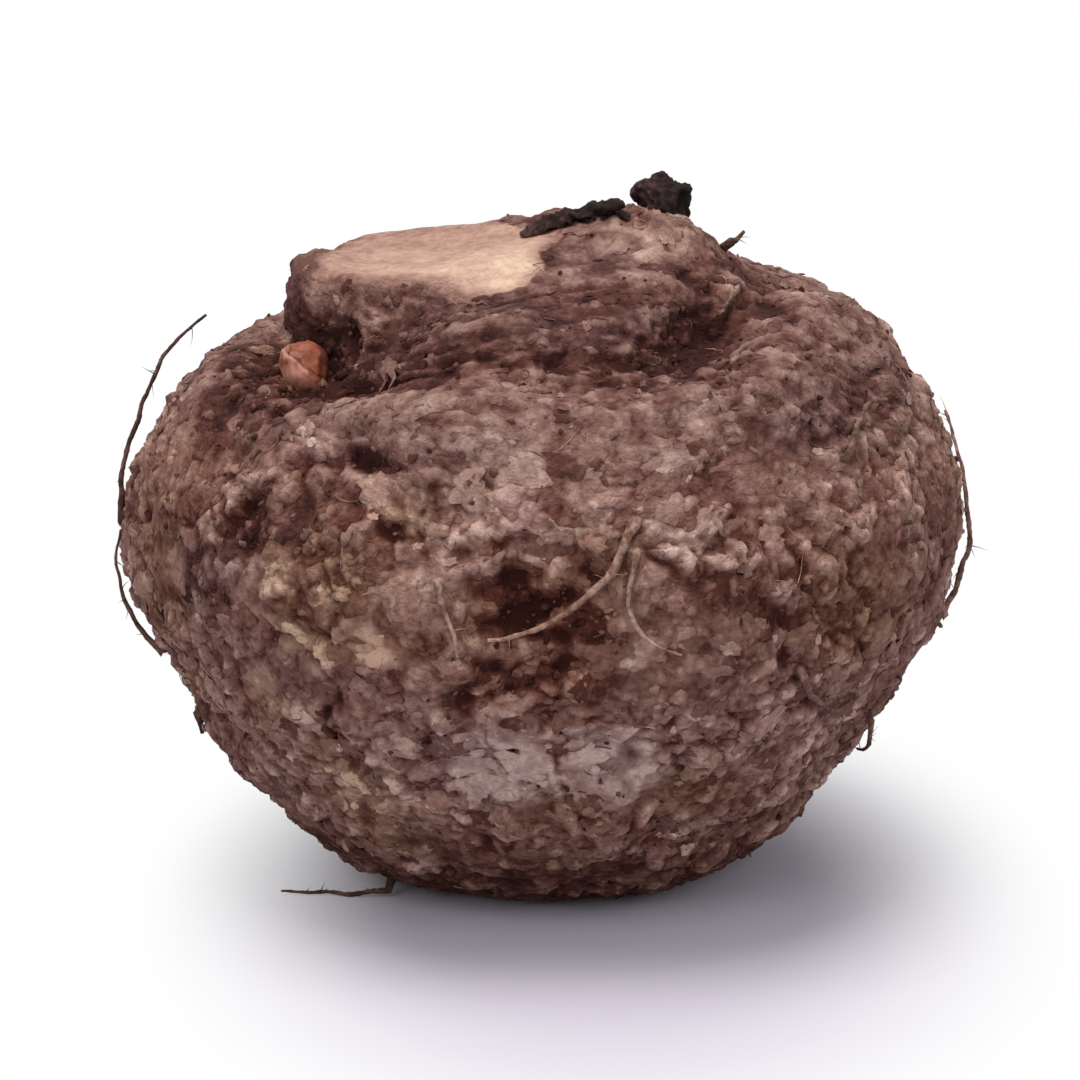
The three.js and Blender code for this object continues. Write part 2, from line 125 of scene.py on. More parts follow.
PATCHES["pale grey calm"] = [
    (-10, -85, 49, 20, 17, 0.38, 1, 0.4),  # rubbed grey
    (53, -54, 140, 11, 7, 0.16, 0, 0.6),  # smooth ridge beyond them
    (17, -82, 49, 17, 14, 0.4, 1, 0.4), (-58, -8, 150, 9, 9, -0.26, 0.5, 0.5),
    (16, -24, 156, 20, 12, 0.2, 0.5, 0.4), (7, -15, 158, 11, 12, 0.1, 0.9, 0.4),
    (88, 26, 70, 34, 22, -0.06, 0.5, 0.3), (-84, 46, 62, 30, 18, 0.12, 0.6, 0.4),
    (4, -31, 154, 17, 7, 0.16, 0, 0.3), (-2, -93, 104, 9, 6, 0.24, 0, 0.4),
    (62, -62, 112, 24, 14, 0.06, 0, 0.2),
]
PATCHES["pale olive"] = [
    (27, -92, 92, 18, 14, 0, -0.7), (-50, -85, 92, 28, 22, 0, 1), (70, -70, 84, 22, 16, 0, 0.8),
    (-61, -79, 80, 9, 8, 0.26, 0.6), (-38, -91, 80, 13, 7, 0.28, 0.5), (-45, -66, 36, 14, 8, 0.26, 0.4),
    (-41, -91, 80, 12, 6, 0.26, 0.5), (-56, -84, 79, 13, 9, 0.2, 0.7), (-64, -72, 61, 14, 9, 0.2, 0.3),
    (-47, -68, 40, 15, 8, 0.16, 0.3), (-52, -74, 45, 14, 8, 0.1, 0.9), (60, 72, 104, 30, 20, 0.08, 0.5),
]
PATCHES["pale olive calm"] = [
    (31, -3, 161, 26, 13, 0.34, 0.5, 0.8),  # under the withered stub
]
PATCHES["pale warm calm"] = [
    (-88, -30, 104, 42, 34, 0.03, 0.4, 0.35),  # smooth brown shoulder
    (-30, 88, 95, 36, 26, 0.08, 0.5, 0.5), (-70, -41, 129, 8, 6, -0.3, 0.4, 0),
    (8, -94, 104, 9, 5, -0.22, 0.4, 0), (-57, -13, 143, 8, 5, -0.3, 1, 0),
]
# Folds: a line of points in millimetres, its half width and depth, and how much paler it is. The darker
# amounts paint shade into each crease, with a little painted light on its lips.
FOLDS = [
    ([(-40, -77, 122), (-56, -68, 119), (-70, -64, 109), (-78, -58, 92)], 2.4, 1, -0.12),
    ([(-64, -50, 128), (-52, -43, 129), (-40, -46, 132), (-28, -56, 134)], 2.4, 2, -0.34),
    ([(-14, -61, 141), (-2, -61, 142), (12, -58, 142), (26, -56, 140), (38, -53, 138), (48, -44, 139)],
     1.9, 1.5, -0.36),
    ([(-30, -50, 140), (-14, -53, 147), (4, -52, 149), (22, -43, 149)], 1.6, 1, -0.24),
    ([(-34, -42, 141), (-20, -50, 143), (-6, -56, 145), (8, -55, 146)], 1.4, 0.8, -0.24),
    ([(3, -87, 54), (5, -83, 45), (10, -77, 33)], 0.9, 0.9, -0.3),
    ([(-20, -94, 104), (-8, -95, 107), (8, -95, 104), (14, -96, 97)], 2, 1.2, -0.2),
    ([(-92, -20, 60), (-86, -40, 52), (-72, -56, 48)], 2.6, 1.2, -0.16),
    ([(60, -62, 100), (70, -60, 82), (86, -36, 70)], 3, 1.4, -0.18),
    ([(40, 70, 120), (62, 66, 98), (84, 40, 92)], 3.2, 1.6, -0.18),
    ([(-66, 60, 110), (-40, 84, 92), (-12, 92, 76)], 3, 1.4, -0.18),
]

# Where the scar is wider than its own shape: a place, its reach across and up in millimetres, and how much
SCAR_EDITS = [((-6, -27, 155), 12, 9, 0.16), ((-3, 16, 161), 13, 9, -0.4)]
# Where the skin swells: a place, its reach across and up, and how far it stands out, all in millimetres
SWELLS = [
    ((-5, 18, 160), 16, 9, 1.8),  # edge of the crown behind the torn rim
    ((-60, -3, 145), 22, 17, 3.4),  # left wall of the neck
    ((54, 18, 151), 32, 16, -3),  # right shoulder
    ((-76, -22, 36), 26, 15, 2.6),
]

# ---- Skin ----
SKIN_STEP = 1.15 * MM  # mesh spacing of the skin
SKIN_TRIANGLES = 194000  # what the skin is thinned to in the end, as a piece stays under 200,000
WITHERED_STEP = 0.5 * MM
DARKEST = -0.42  # no patch is darker than this
GROUND_FADE = 4 * MM  # relief dies out this close to the ground
LENS_CREASE = math.radians(70)  # flakes stay sharp along their rims

# ---- Roots: the radius in millimetres where each is thickest, and how pale it is from 0 to 1 ----
ROOTS = {
    "left_long": (0.75, 0.12), "left_short": (0.7, 0.2), "left_spur": (1, 0.05),
    "front_curl": (1, 0.6), "front_hook": (0.75, 0.65), "front_fork": (0.7, 0.6),
    "crown_spur": (0.75, 0.1), "shoulder_right": (0.8, 0.4), "front_right": (0.85, 0.4),
    "right_long": (0.8, 0.4), "right_low": (0.75, 0.4), "back_short": (0.9, 0.4),
    "back_loop": (0.75, 0.4), "back_trail": (0.8, 0.4), "back_left": (0.7, 0.4),
    "floor_left": (0.7, 0.1), "floor_back": (0.7, 0.4),
}

# ---- Light and camera ----
VIEW_ELEVATION = math.radians(15)
VIEW_DISTANCE = 1.3
VIEW_SHARE = 0.77  # how much of the picture's width the corm fills
SHADOW_CENTRE = (0.015, -0.03, 0)  # the floor is white outside this oval
SHADOW_REACH = (0.105, 0.17, 1)


# ---- Noise ----
def hashed(cells, seed):
    """A number from 0 to 1 for each whole-numbered cell."""
    c = cells.astype(np.int64).astype(np.uint32)
    h = c[..., 0] * np.uint32(0x8DA6B343)
    h ^= c[..., 1] * np.uint32(0xD8163841)
    h ^= c[..., 2] * np.uint32(0xCB1AB31F)
    h ^= np.uint32((seed * 0x9E3779B1) & 0xFFFFFFFF)
    for shift, factor in ((16, 0x7FEB352D), (15, 0x846CA68B)):
        h ^= h >> np.uint32(shift)
        h *= np.uint32(factor)
    h ^= h >> np.uint32(16)
    return h / 2.0**32


def swirl(points, cell, seed):
    """Smooth noise, mostly from -1 to 1, one wave per `cell` millimetres."""
    q = points / (cell * MM) + seed * 17.31
    base = np.floor(q)
    f = q - base
    w = f * f * f * (f * (f * 6 - 15) + 10)
    total = np.zeros(len(q))
    for corner in np.ndindex(2, 2, 2):
        c = np.array(corner)
        slope = np.stack([hashed(base + c, seed * 3 + s) for s in range(3)], 1) * 2 - 1
        weight = np.prod(np.where(c, w, 1 - w), axis=1)
        total += weight * ((f - c) * slope).sum(1)
    return total * 1.7


def layered(points, cell, layers, seed):
    """Noise with finer and finer layers, mostly from -1 to 1."""
    total = np.zeros(len(points))
    for i in range(layers):
        total += swirl(points, cell / 2**i, seed + i) / 2**i
    return total


def stirred(points, cell, reach, seed):
    """The points pushed to and fro by up to about `reach` mm, so that what is drawn by them looks grown."""
    return points + reach * MM * np.stack([swirl(points, cell, seed + s) for s in range(3)], 1)


def smooth(low, high, value):
    t = np.clip((value - low) / (high - low), 0, 1)
    return t * t * (3 - 2 * t)


def knobs(points, cell, seed):
    """Crowded knobs: how high each point is, from 0 to 1, and its knob's own number from 0 to 1."""
    q = points / (cell * MM) + seed * 3.7
    base = np.floor(q)
    first = second = np.full(len(q), 9.0)
    number = np.zeros(len(q))
    for step in np.ndindex(3, 3, 3):
        c = base + np.array(step) - 1
        middle = c + np.stack([hashed(c, seed * 5 + s) for s in range(3)], 1)
        away = np.linalg.norm(q - middle, axis=1)
        nearer = away < first
        second = np.where(nearer, first, np.minimum(second, away))
        number = np.where(nearer, hashed(c, seed * 5 + 3), number)
        first = np.where(nearer, away, first)
    dome = np.sqrt(np.clip(1 - (first / 0.9) ** 2, 0, 1))
    return smooth(0, 0.3, second - first) * (0.45 + 0.55 * dome), number


# ---- Regions of the corm ----
def near(points, middle, across, up):
    """1 at a middle, fading to 0 at the reach across and up, all in millimetres."""
    away = points / MM - np.array(middle)
    flat = np.hypot(away[:, 0], away[:, 1]) / across
    return smooth(1, 0.35, np.hypot(flat, away[:, 2] / up))


def from_line(points, line):
    """How far each point lies from a line of points, in millimetres."""
    q = points / MM
    corners = np.array(line, float)
    nearest = np.full(len(q), np.inf)
    for start, end in zip(corners[:-1], corners[1:]):
        span = end - start
        t = np.clip((q - start) @ span / (span @ span), 0, 1)
        nearest = np.minimum(nearest, np.linalg.norm(q - start - t[:, None] * span, axis=1))
    return nearest


def regions(points):
    """What the skin is like at each point: a dictionary of numbers, most of them from 0 to 1."""
    z = points[:, 2]
    ragged = 0.045 * layered(points, 8, 3, 91)
    c, s = math.cos(SCAR_TURN), math.sin(SCAR_TURN)
    from_middle = (points[:, :2] - SCAR_CENTRE) @ np.array([[c, -s], [s, c]]) / SCAR_REACH
    outward = (np.abs(from_middle) ** SCAR_SQUARENESS).sum(1) ** (1 / SCAR_SQUARENESS)
    inside = 1 - outward + ragged + sum(wider * near(points, *place) for *place, wider in SCAR_EDITS)
    inside *= z + 40 * MM * ragged > SCAR_LOWEST
    out = np.hypot(*(points[:, :2] - CROWN_CENTRE).T)
    neck = smooth(NECK_RADIUS + 8 * MM, NECK_RADIUS, out) * smooth(NECK_LOWEST, NECK_LOWEST + 6 * MM, z)
    neck *= 1 - smooth(0, 0.05, inside)
    ridge = smooth(NECK_RADIUS, NECK_RADIUS + 9 * MM, out) * smooth(RIDGE_LOWEST, RIDGE_LOWEST + 16 * MM, z)
    upper = smooth(94 * MM, 114 * MM, z) * (1 - neck) * (1 - ridge)
    lower = smooth(84 * MM, 56 * MM, z)
    low = smooth(34 * MM, 8 * MM, z)
    stains = layered(stirred(points, 9, 3, 65), 13, 2, 67)
    green = smooth(0.15, 0.6, swirl(points, 30, 69)) * (1 - neck) * smooth(124 * MM, 112 * MM, z)
    look = {
        "scar": np.clip(inside, 0, 1),
        # The cut face is paler towards its right and front and darker towards its back right: painted light
        # and shade
        "scar_painted_light": from_middle @ np.array([0.14, -0.12]) - 0.14 * from_middle.prod(1) - 0.05,
        "neck": neck,
        "ridge": ridge,
        "sunk": 0,
        # pale: stains, plus painted light and shade by height. The 0.14 paler upper body and 0.1 paler lower
        # body are painted light, and 0.24 darker next to the ground is painted shade. The neck is 0.18
        # darker.
        "pale": 0.15 * stains + 0.14 * upper + 0.1 * lower - 0.24 * low - 0.18 * neck - 0.12,
        "warm": 0.3 * low,
        "grey": 0.4 * neck + 0.6 * ridge,
        "olive": 0.7 * green,
        "calm": 0.45 * ridge + 0.45 * neck,
    }
    broken = np.clip(0.85 + 0.9 * layered(points, 7, 2, 71), 0.2, 1.4)
    wavy = stirred(points, 13, 3.2, 5)
    for qualities, rows in PATCHES.items():
        for x, y, z, across, up, *amounts in rows:
            share = near(wavy, (x, y, z), across, up)
            for name, amount in zip(qualities.split(), amounts):
                look[name] = look[name] + amount * (share * broken if name in ("sunk", "pale") else share)
    wavy = stirred(points, 7, 1.8, 6)
    for line, width, sunk, pale in FOLDS:
        t = from_line(wavy, line) / width
        look["sunk"] += sunk * (np.exp(-t * t) - 0.35 * np.exp(-((t - 2) ** 2)))
        look["pale"] += pale * (np.exp(-t * t * 1.3) - 0.3 * np.exp(-((t - 2) ** 2)))
    look["pale"] = np.maximum(look["pale"], DARKEST)
    for name in ("warm", "grey", "olive", "calm"):
        look[name] = np.clip(look[name], 0, 1)
    return look


# ---- Meshes ----
def mesh_arrays(mesh):
    """A mesh's points and normals as arrays."""
    found = np.zeros((2, len(mesh.vertices) * 3))
    for name, numbers in zip(("co", "normal"), found):
        mesh.vertices.foreach_get(name, numbers)
    return found.reshape(2, -1, 3)


def set_points(mesh, points):
    mesh.vertices.foreach_set("co", np.maximum(points, LOWEST).astype(np.float32).ravel())
    mesh.update()


def paint(mesh, name, values):
    """Stores one number per point, which a material reads as an attribute."""
    layer = mesh.attributes.new(name, "FLOAT", "POINT")
    layer.data.foreach_set("value", values.astype(np.float32))


def new_mesh(points, faces):
    mesh = bpy.data.meshes.new("made")
    mesh.from_pydata(np.maximum(points, LOWEST).tolist(), [], faces)
    mesh.update()
    return mesh


def many(points, faces):
    """One mesh of many things alike: the points of each of them, and the faces of one."""
    count, each, _ = points.shape
    shifted = [[int(k) + i * each for k in face] for i in range(count) for face in faces]
    return new_mesh(points.reshape(-1, 3), shifted)


def placed(name, data):
    """A new object in the scene."""
    thing = bpy.data.objects.new(name, data)
    bpy.context.scene.collection.objects.link(thing)
    return thing


def add_piece(name, mesh, slot, replaced=(), crease=None):
    """Adds a piece of the yam, in its slot's material. Edges that bend more than `crease` stay sharp."""
    mesh.name = name
    piece = placed(name, mesh)
    mesh.materials.clear()
    mesh.materials.append(MATERIALS[slot])
    mesh.shade_smooth()
    if crease:
        mesh.set_sharp_from_angle(angle=crease)
    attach(piece, "root")
    if replaced:
        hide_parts(*replaced)


def modified(mesh, *modifiers):
    """The mesh that modifiers make of a mesh. Each modifier is its type and its settings."""
    source = placed("source", mesh)
    for kind, settings in modifiers:
        modifier = source.modifiers.new(kind, kind)
        for name, value in settings.items():
            setattr(modifier, name, value)
    made = bpy.data.meshes.new_from_object(source.evaluated_get(bpy.context.evaluated_depsgraph_get()))
    bpy.data.objects.remove(source)
    return made


def joined(node):
    """A CAD node's own mesh as a bmesh, with the corners of its facets joined."""
    bm = bmesh.new()
    bm.from_mesh(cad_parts[node].data)
    bmesh.ops.remove_doubles(bm, verts=bm.verts, dist=0.01 * MM)
    return bm


def refined(node, levels, voxel=None):
    """A CAD node as a closed, rounded and finer mesh, of even faces if a voxel size is given."""
    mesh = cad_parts[node].data.copy()
    bm = joined(node)
    bm.to_mesh(mesh)
    bm.free()
    modifiers = [("SUBSURF", {"levels": levels})]
    if voxel:
        modifiers += [("REMESH", {"mode": "VOXEL", "voxel_size": voxel}), ("SMOOTH", {"iterations": 2})]
    return modified(mesh, *modifiers)


def thinned(mesh, triangles):
    """A copy of a mesh in fewer triangles, with the flattest places thinned first."""
    mesh.calc_loop_triangles()
    coarse = modified(mesh, ("DECIMATE", {"ratio": triangles / len(mesh.loop_triangles)}))
    set_points(coarse, mesh_arrays(coarse)[0])
    return coarse


class Links:
    """Which points of a mesh are joined by an edge, for averaging over neighbours."""

    def __init__(self, mesh):
        pairs = np.zeros(len(mesh.edges) * 2, np.int32)
        mesh.edges.foreach_get("vertices", pairs)
        pairs = pairs.reshape(-1, 2)
        both = np.concatenate([pairs, pairs[:, ::-1]])
        both = both[np.argsort(both[:, 0], kind="stable")]
        self.ends = both[:, 1]
        self.starts = np.searchsorted(both[:, 0], np.arange(len(mesh.vertices)))
        self.counts = np.diff(np.append(self.starts, len(both)))

    def eased(self, values, rounds):
        """Values averaged with their neighbours' over and over."""
        for _ in range(rounds):
            values = np.add.reduceat(values[self.ends], self.starts, axis=0) / self.counts[:, None]
        return values

    def standing_out(self, points, normals, rounds):
        """How far each point stands out of its surroundings, as a share of how far points usually do."""
        out = ((points - self.eased(points, rounds)) * normals).sum(1)
        return np.clip(out / out.std(), -2.5, 2.5)


def unit(vectors):
    return vectors / np.maximum(np.linalg.norm(vectors, axis=-1, keepdims=True), 1e-12)


# ---- Skin ----
def relief(points, look):
    """How far the skin stands out of the smooth corm at each point, in metres, and how pale it is there."""
    scar = smooth(0, 0.06, look["scar"])
    neck, ridge, calm = look["neck"], look["ridge"], look["calm"]
    grown = stirred(points, 8, 2.4, 11)
    broad = layered(points, 34, 2, 31)
    lumps = layered(grown, 14, 2, 35)
    crust = layered(points, 4.2, 2, 21)
    rough = np.clip(0.8 + 0.7 * swirl(points, 26, 61), 0.3, 1.4)
    large, large_number = knobs(grown, 8.6, 1)
    small, small_number = knobs(grown, 4.3, 2)
    cracked = smooth(-0.1, 0.4, swirl(points, 30, 43))
    cracks = np.clip(1 - np.abs(swirl(grown, 19, 41)) * 9, 0, 1) * cracked

    out = np.hypot(*(points[:, :2] - CROWN_CENTRE).T)
    turn = np.arctan2(out, points[:, 2] - 85 * MM) * 95 * MM + 1.8 * MM * broad + 1.3 * MM * lumps
    along = np.stack([points[:, 0] * 0.16, points[:, 1] * 0.16, turn], 1)
    strands = layered(along, 4.4, 2, 51)
    wrinkles = 0.6 - 2.0 * np.abs(strands)

    bumpy = rough * (1 - 0.5 * neck) * (1 - 0.75 * calm)
    height = 1.9 * bumpy * (large * (0.2 + 0.8 * large_number) - 0.3)
    height += 1.0 * bumpy * (small * (0.25 + 0.75 * small_number) - 0.3)
    height += 1.0 * (1 - 0.5 * calm) * lumps + 0.4 * (1 - 0.4 * calm) * crust
    height -= 1.3 * cracks * (1 - 0.6 * calm)
    height += (0.16 + 0.9 * neck + 0.5 * ridge) * wrinkles
    height += 0.8 * broad - look["sunk"]
    height = height * (1 - scar) + 0.14 * scar * (crust + lumps)
    for *place, raised in SWELLS:
        height += raised * near(points, *place)

    pale = bumpy * (0.2 * (large_number - 0.5) + 0.15 * (small_number - 0.5))
    pale += 0.12 * (neck + ridge) * strands + 0.06 * swirl(grown, 5, 63)
    return height * MM, pale


def make_skin():
    """The corm's skin, which is the CAD shape with its knobs, cracks and wrinkles, and its look."""
    mesh = refined("corm", 2, SKIN_STEP)
    links = Links(mesh)
    points, normals = mesh_arrays(mesh)
    look = regions(points)
    height, pale = relief(points, look)
    broad = links.standing_out(points, normals, 80)
    off_ground = smooth(0.3 * MM, GROUND_FADE, points[:, 2])
    set_points(mesh, points + normals * (height * off_ground)[:, None])
    moved, facing = mesh_arrays(mesh)
    fine = links.standing_out(moved, facing, 3)
    wide = links.standing_out(moved, facing, 20)
    contrast = 1 - 0.5 * look["calm"]
    # raised: paler where the skin stands out and darker where it sinks, partly the bark's own paler knob
    # tops and partly painted shade in its cracks and hollows
    look["raised"] = 0.5 + pale + contrast * (0.035 * fine + 0.085 * wide) + 0.03 * broad
    for name, values in look.items():
        paint(mesh, name, values)
    return mesh, look


# ---- Scattering over the skin ----
Spots = namedtuple("Spots", "places normals look")


class Skin:
    """The finished skin as a surface to put small things on."""

    def __init__(self, mesh, look):
        mesh.calc_loop_triangles()
        corners = np.zeros(len(mesh.loop_triangles) * 3, np.int32)
        mesh.loop_triangles.foreach_get("vertices", corners)
        self.corners = corners.reshape(-1, 3)
        self.points, self.normals = mesh_arrays(mesh)
        self.look = look
        a, b, c = (self.points[self.corners[:, k]] for k in range(3))
        self.areas = np.linalg.norm(np.cross(b - a, c - a), axis=1) / 2
        self.tree = BVHTree.FromPolygons(self.points.tolist(), self.corners.tolist())

    def scatter(self, count, random, likely):
        """`count` random spots. `likely` says for each point of the skin how likely a spot is there."""
        weight = self.areas * np.clip(likely[self.corners].mean(1), 0, None)
        chosen = random.choice(len(weight), count, p=weight / weight.sum())
        r = np.sqrt(random.random(count))
        t = random.random(count)
        shares = np.stack([1 - r, r * (1 - t), r * t], 1)
        corners = self.corners[chosen]
        places = (self.points[corners] * shares[:, :, None]).sum(1)
        normals = (self.normals[corners] * shares[:, :, None]).sum(1)
        look = {name: (values[corners] * shares).sum(1) for name, values in self.look.items()}
        return Spots(places, unit(normals), look)

    def drop(self, places):
        """The nearest points of the skin and its normals there."""
        found = [self.tree.find_nearest(Vector(p)) for p in places]
        return np.array([f[0] for f in found]), np.array([f[1] for f in found])


def tangents(normals, spin):
    """Two directions along the skin at each spot. At spin 0 the first one runs level, round the corm."""
    level = unit(np.cross(np.array([0, 0, 1.0]) + 1e-6, normals))
    up = np.cross(normals, level)
    c, s = np.cos(spin)[:, None], np.sin(spin)[:, None]
    first = level * c + up * s
    return first, np.cross(normals, first)


def lens_template(n):
    """A closed lens of n x n points a side over the unit disc: u, v, which are on the rim, and the faces."""
    line = np.linspace(-1, 1, n)
    x, y = np.meshgrid(line, line, indexing="ij")
    u = (x * np.sqrt(1 - y * y / 2)).ravel()
    v = (y * np.sqrt(1 - x * x / 2)).ravel()
    rim = (np.maximum(np.abs(x), np.abs(y)) > 0.99).ravel()
    lower = np.where(rim, np.arange(n * n), n * n + np.cumsum(~rim) - 1)  # both sides share the rim
    faces = []
    for k in (i * n + j for i in range(n - 1) for j in range(n - 1)):
        quad = [k, k + n, k + n + 1, k + 1]
        faces += [quad, [lower[corner] for corner in reversed(quad)]]
    return u, v, rim, faces


# A kind of cork: what gives its sides, how many radians it sways from level (0: it lies any way round), the
# spread and limits of its length, its width and any height as shares of that, how torn its outline is, how
# much of the skin's tone it follows, how grainy its own tone is, and whether it hugs the skin.
Cork = namedtuple("Cork", "sides sway spread limits shares torn follows grain hug", defaults=[0.02, False])


def plate_sides(random, disc, long):
    """A plate's upper and lower side above the skin, and how much paler it is: thinner at the rim.

    Its rim is a touch darker, painted shade.
    """
    rim = disc[2]
    thick = random.uniform(0.25, 0.6, long.shape) * MM * np.where(rim, 0.25, 1)
    upper = thick + random.normal(0, 0.06 * MM, thick.shape)
    return upper, np.full(upper.shape, -0.5 * MM), -0.03 * rim


def flake_sides(lift, random, disc, long):
    """The same for a thin curled flake, one edge in the skin and the other a little lifted."""
    u, v, rim = disc
    raised = random.uniform(0, lift, long.shape) * (v + 1) / 2
    curled = random.uniform(-0.05, 0.3, long.shape) * u * u * 0.4
    height = (raised + curled + random.normal(0, 0.04, raised.shape)) * long * 0.8 - 0.1 * MM
    thick = np.where(rim, 0, random.uniform(0.14, 0.26, long.shape) * MM)
    return height + thick, height - thick, 0


def knob_sides(random, disc, long, tall):
    """The same for a small blunt knob, half sunk in the skin; its paler top and darker foot are painted
    light and shade.
    """
    u, v, _ = disc
    rough = 1 + random.normal(0, 0.12, (len(long), len(u)))
    dome = np.sqrt(np.clip(1 - (u * u + v * v) ** 2, 0, 1)) * rough
    return dome * tall - 0.1 * MM, -0.6 * MM * dome, 0.08 * dome - 0.06


PLATE = Cork(plate_sides, 0.5, 0.4, (0.5, 2), [(0.4, 0.85)], torn=0.17, follows=0.55, hug=True)
FLAKE = Cork(partial(flake_sides, 0.22), 0.9, 0.45, (0.5, 2.4), [(0.4, 0.9)], torn=0.15, follows=0.5)
SHRED = FLAKE._replace(sides=partial(flake_sides, 0.5))
KNOB = Cork(knob_sides, 0, 0.4, (0, math.inf), [(0.5, 1), (0.12, 0.32)], torn=0.16, follows=0.7, grain=0)


def make_cork(kind, skin, random, count, length, likely, tones, grid):
    """Many bits of cork as closed lenses. `tones`: how much paler than the skin they are, and the spread."""
    *disc, faces = lens_template(grid)
    u, v, rim = disc
    spots = skin.scatter(count, random, likely)
    if kind.sway:
        spin = random.normal(0, kind.sway, count) + math.pi * random.integers(0, 2, count)
    else:
        spin = random.uniform(0, math.tau, count)
    first, second = tangents(spots.normals, spin)
    long = length * np.exp(random.normal(0, kind.spread, (count, 1)))
    long = np.clip(long, kind.limits[0] * length, kind.limits[1] * length)
    wide, *tall = (long * random.uniform(*share, (count, 1)) for share in kind.shares)
    outline = np.ones((count, len(u)))
    for waves in (2, 3, 5):
        phase = random.uniform(0, math.tau, (count, 1))
        depth = kind.torn * random.uniform(0.3, 1, (count, 1))
        outline += depth * np.sin(waves * np.arctan2(v, u) + phase)
    outline += rim * random.normal(0, kind.torn * 0.7, outline.shape)
    along = first[:, None] * (u * outline * long / 2)[:, :, None]
    across = second[:, None] * (v * outline * wide / 2)[:, :, None]
    places = spots.places[:, None] + along + across
    normals = np.repeat(spots.normals[:, None], len(u), axis=1)
    if kind.hug:
        on_skin, facing = skin.drop(places.reshape(-1, 3))
        places = on_skin.reshape(places.shape)
        normals = unit(normals + facing.reshape(places.shape))
    upper, lower, shade = kind.sides(random, disc, long, *tall)
    paler, spread = tones
    own = 0.5 + kind.follows * (spots.look["raised"] - 0.5) + paler + random.normal(0, spread, count)
    tone = own[:, None] + shade + random.normal(0, kind.grain, outline.shape)
    over = places + normals * upper[:, :, None]
    under = places + normals * lower[:, :, None]
    mesh = many(np.concatenate([over, under[:, ~rim]], axis=1), faces)
    # The undersides are painted 0.1 darker than the tops: painted shade under each bit of cork.
    paint(mesh, "raised", np.concatenate([tone, tone[:, ~rim] - 0.1], axis=1).ravel())
    for key in ("pale", "warm", "grey", "olive"):
        paint(mesh, key, np.repeat(spots.look[key], len(mesh.vertices) // count))
    return mesh


def ring(middles, first, second, radii, sides):
    """A ring of points round each middle, in the plane of its two directions."""
    around = np.arange(sides) * math.tau / sides
    across = first[:, None] * (np.cos(around) * radii)[:, :, None]
    upward = second[:, None] * (np.sin(around) * radii)[:, :, None]
    return middles[:, None] + across + upward


def tube_faces(rings, sides):
    """Faces of a closed tube of rings."""
    last = (rings - 1) * sides
    faces = [(i + j, i + k, i + k + sides, i + j + sides)
             for i in range(0, last, sides) for j, k in enumerate([*range(1, sides), 0])]
    return faces + [tuple(range(sides - 1, -1, -1)), tuple(range(last, last + sides))]


def tubes_mesh(rims, tints):
    """Many closed tubes in one mesh, from their first rings, their second rings and so on."""
    points = np.concatenate(rims, axis=1)
    mesh = many(points, tube_faces(len(rims), rims[0].shape[1]))
    paint(mesh, "tint", np.repeat(tints, points.shape[1]))
    return mesh


def make_rootlets(skin, random, count, length, thick, likely):
    """Thin dry rootlets that lie on the skin and lift here and there."""
    rings = 8
    spots = skin.scatter(count, random, likely)
    heading = random.normal(0, 1.6, count)
    turning = random.normal(0, 0.22, count)
    reach = length * np.exp(random.normal(0, 0.45, count))
    radius = thick * random.uniform(0.6, 1.2, count) / 2
    wave = random.uniform(0, math.tau, count)
    rims = []
    place, normal = spots.places, spots.normals
    for t in np.arange(rings) / (rings - 1):
        ahead, aside = tangents(normal, heading)
        lifted = radius * 0.6 + (0.3 * MM) * (1 + np.sin(wave + 4 * t)) * t
        middle = place + normal * lifted[:, None]
        taper = radius * (1 - 0.6 * t)
        rims.append(ring(middle, aside, normal, taper[:, None], sides=4))
        heading = heading + turning + random.normal(0, 0.14, count)
        place, normal = skin.drop(place + ahead * (reach / (rings - 1))[:, None])
    return tubes_mesh(rims, random.uniform(0.05, 0.75, count))


def make_stumps(skin, random, count, likely):
    """Roots broken off short: crooked, tapered stumps with a torn end."""
    sides = 6
    spots = skin.scatter(count, random, likely)
    first, second = tangents(spots.normals, random.uniform(0, math.tau, count))
    radius = random.uniform(0.35, 0.75, count) * MM
    tall = random.uniform(0.6, 2.4, count)[:, None] * MM
    lean = random.normal(0, 0.45, (2, count, 1))
    rims = []
    for t, width in ((-0.25, 2), (0.15, 1.25), (0.55, 0.95), (0.9, 0.85), (1, 0.45)):
        reach = radius[:, None] * width * (1 + random.normal(0, 0.12, (count, sides)))
        bend = lean * t * abs(t) * tall
        middle = spots.places + spots.normals * tall * t + first * bend[0] + second * bend[1]
        torn = random.normal(0, 0.12 * max(t, 0), (count, sides)) * tall
        rims.append(ring(middle, first, second, reach, sides) + spots.normals[:, None] * torn[:, :, None])
    return tubes_mesh(rims, random.uniform(0.05, 0.6, count))


def make_crumbs(skin, random, count, size, likely, tones):
    """Crumbs of soil and bark that lie in the hollows."""
    bm = bmesh.new()
    bmesh.ops.create_icosphere(bm, subdivisions=1, radius=1)
    ball = np.array([v.co for v in bm.verts])
    faces = [[v.index for v in f.verts] for f in bm.faces]
    bm.free()
    spots = skin.scatter(count, random, likely)
    radius = size / 2 * np.exp(random.normal(0, 0.4, count))
    flat = random.uniform(0.5, 1, (count, 1, 3))
    lumpy = 1 + random.normal(0, 0.17, (count, len(ball), 1))
    points = spots.places[:, None] + ball[None] * flat * lumpy * radius[:, None, None]
    points += spots.normals[:, None] * (radius * 0.25)[:, None, None]
    mesh = many(points, faces)
    paint(mesh, "raised", np.repeat(random.uniform(*tones, count), len(ball)))
    return mesh


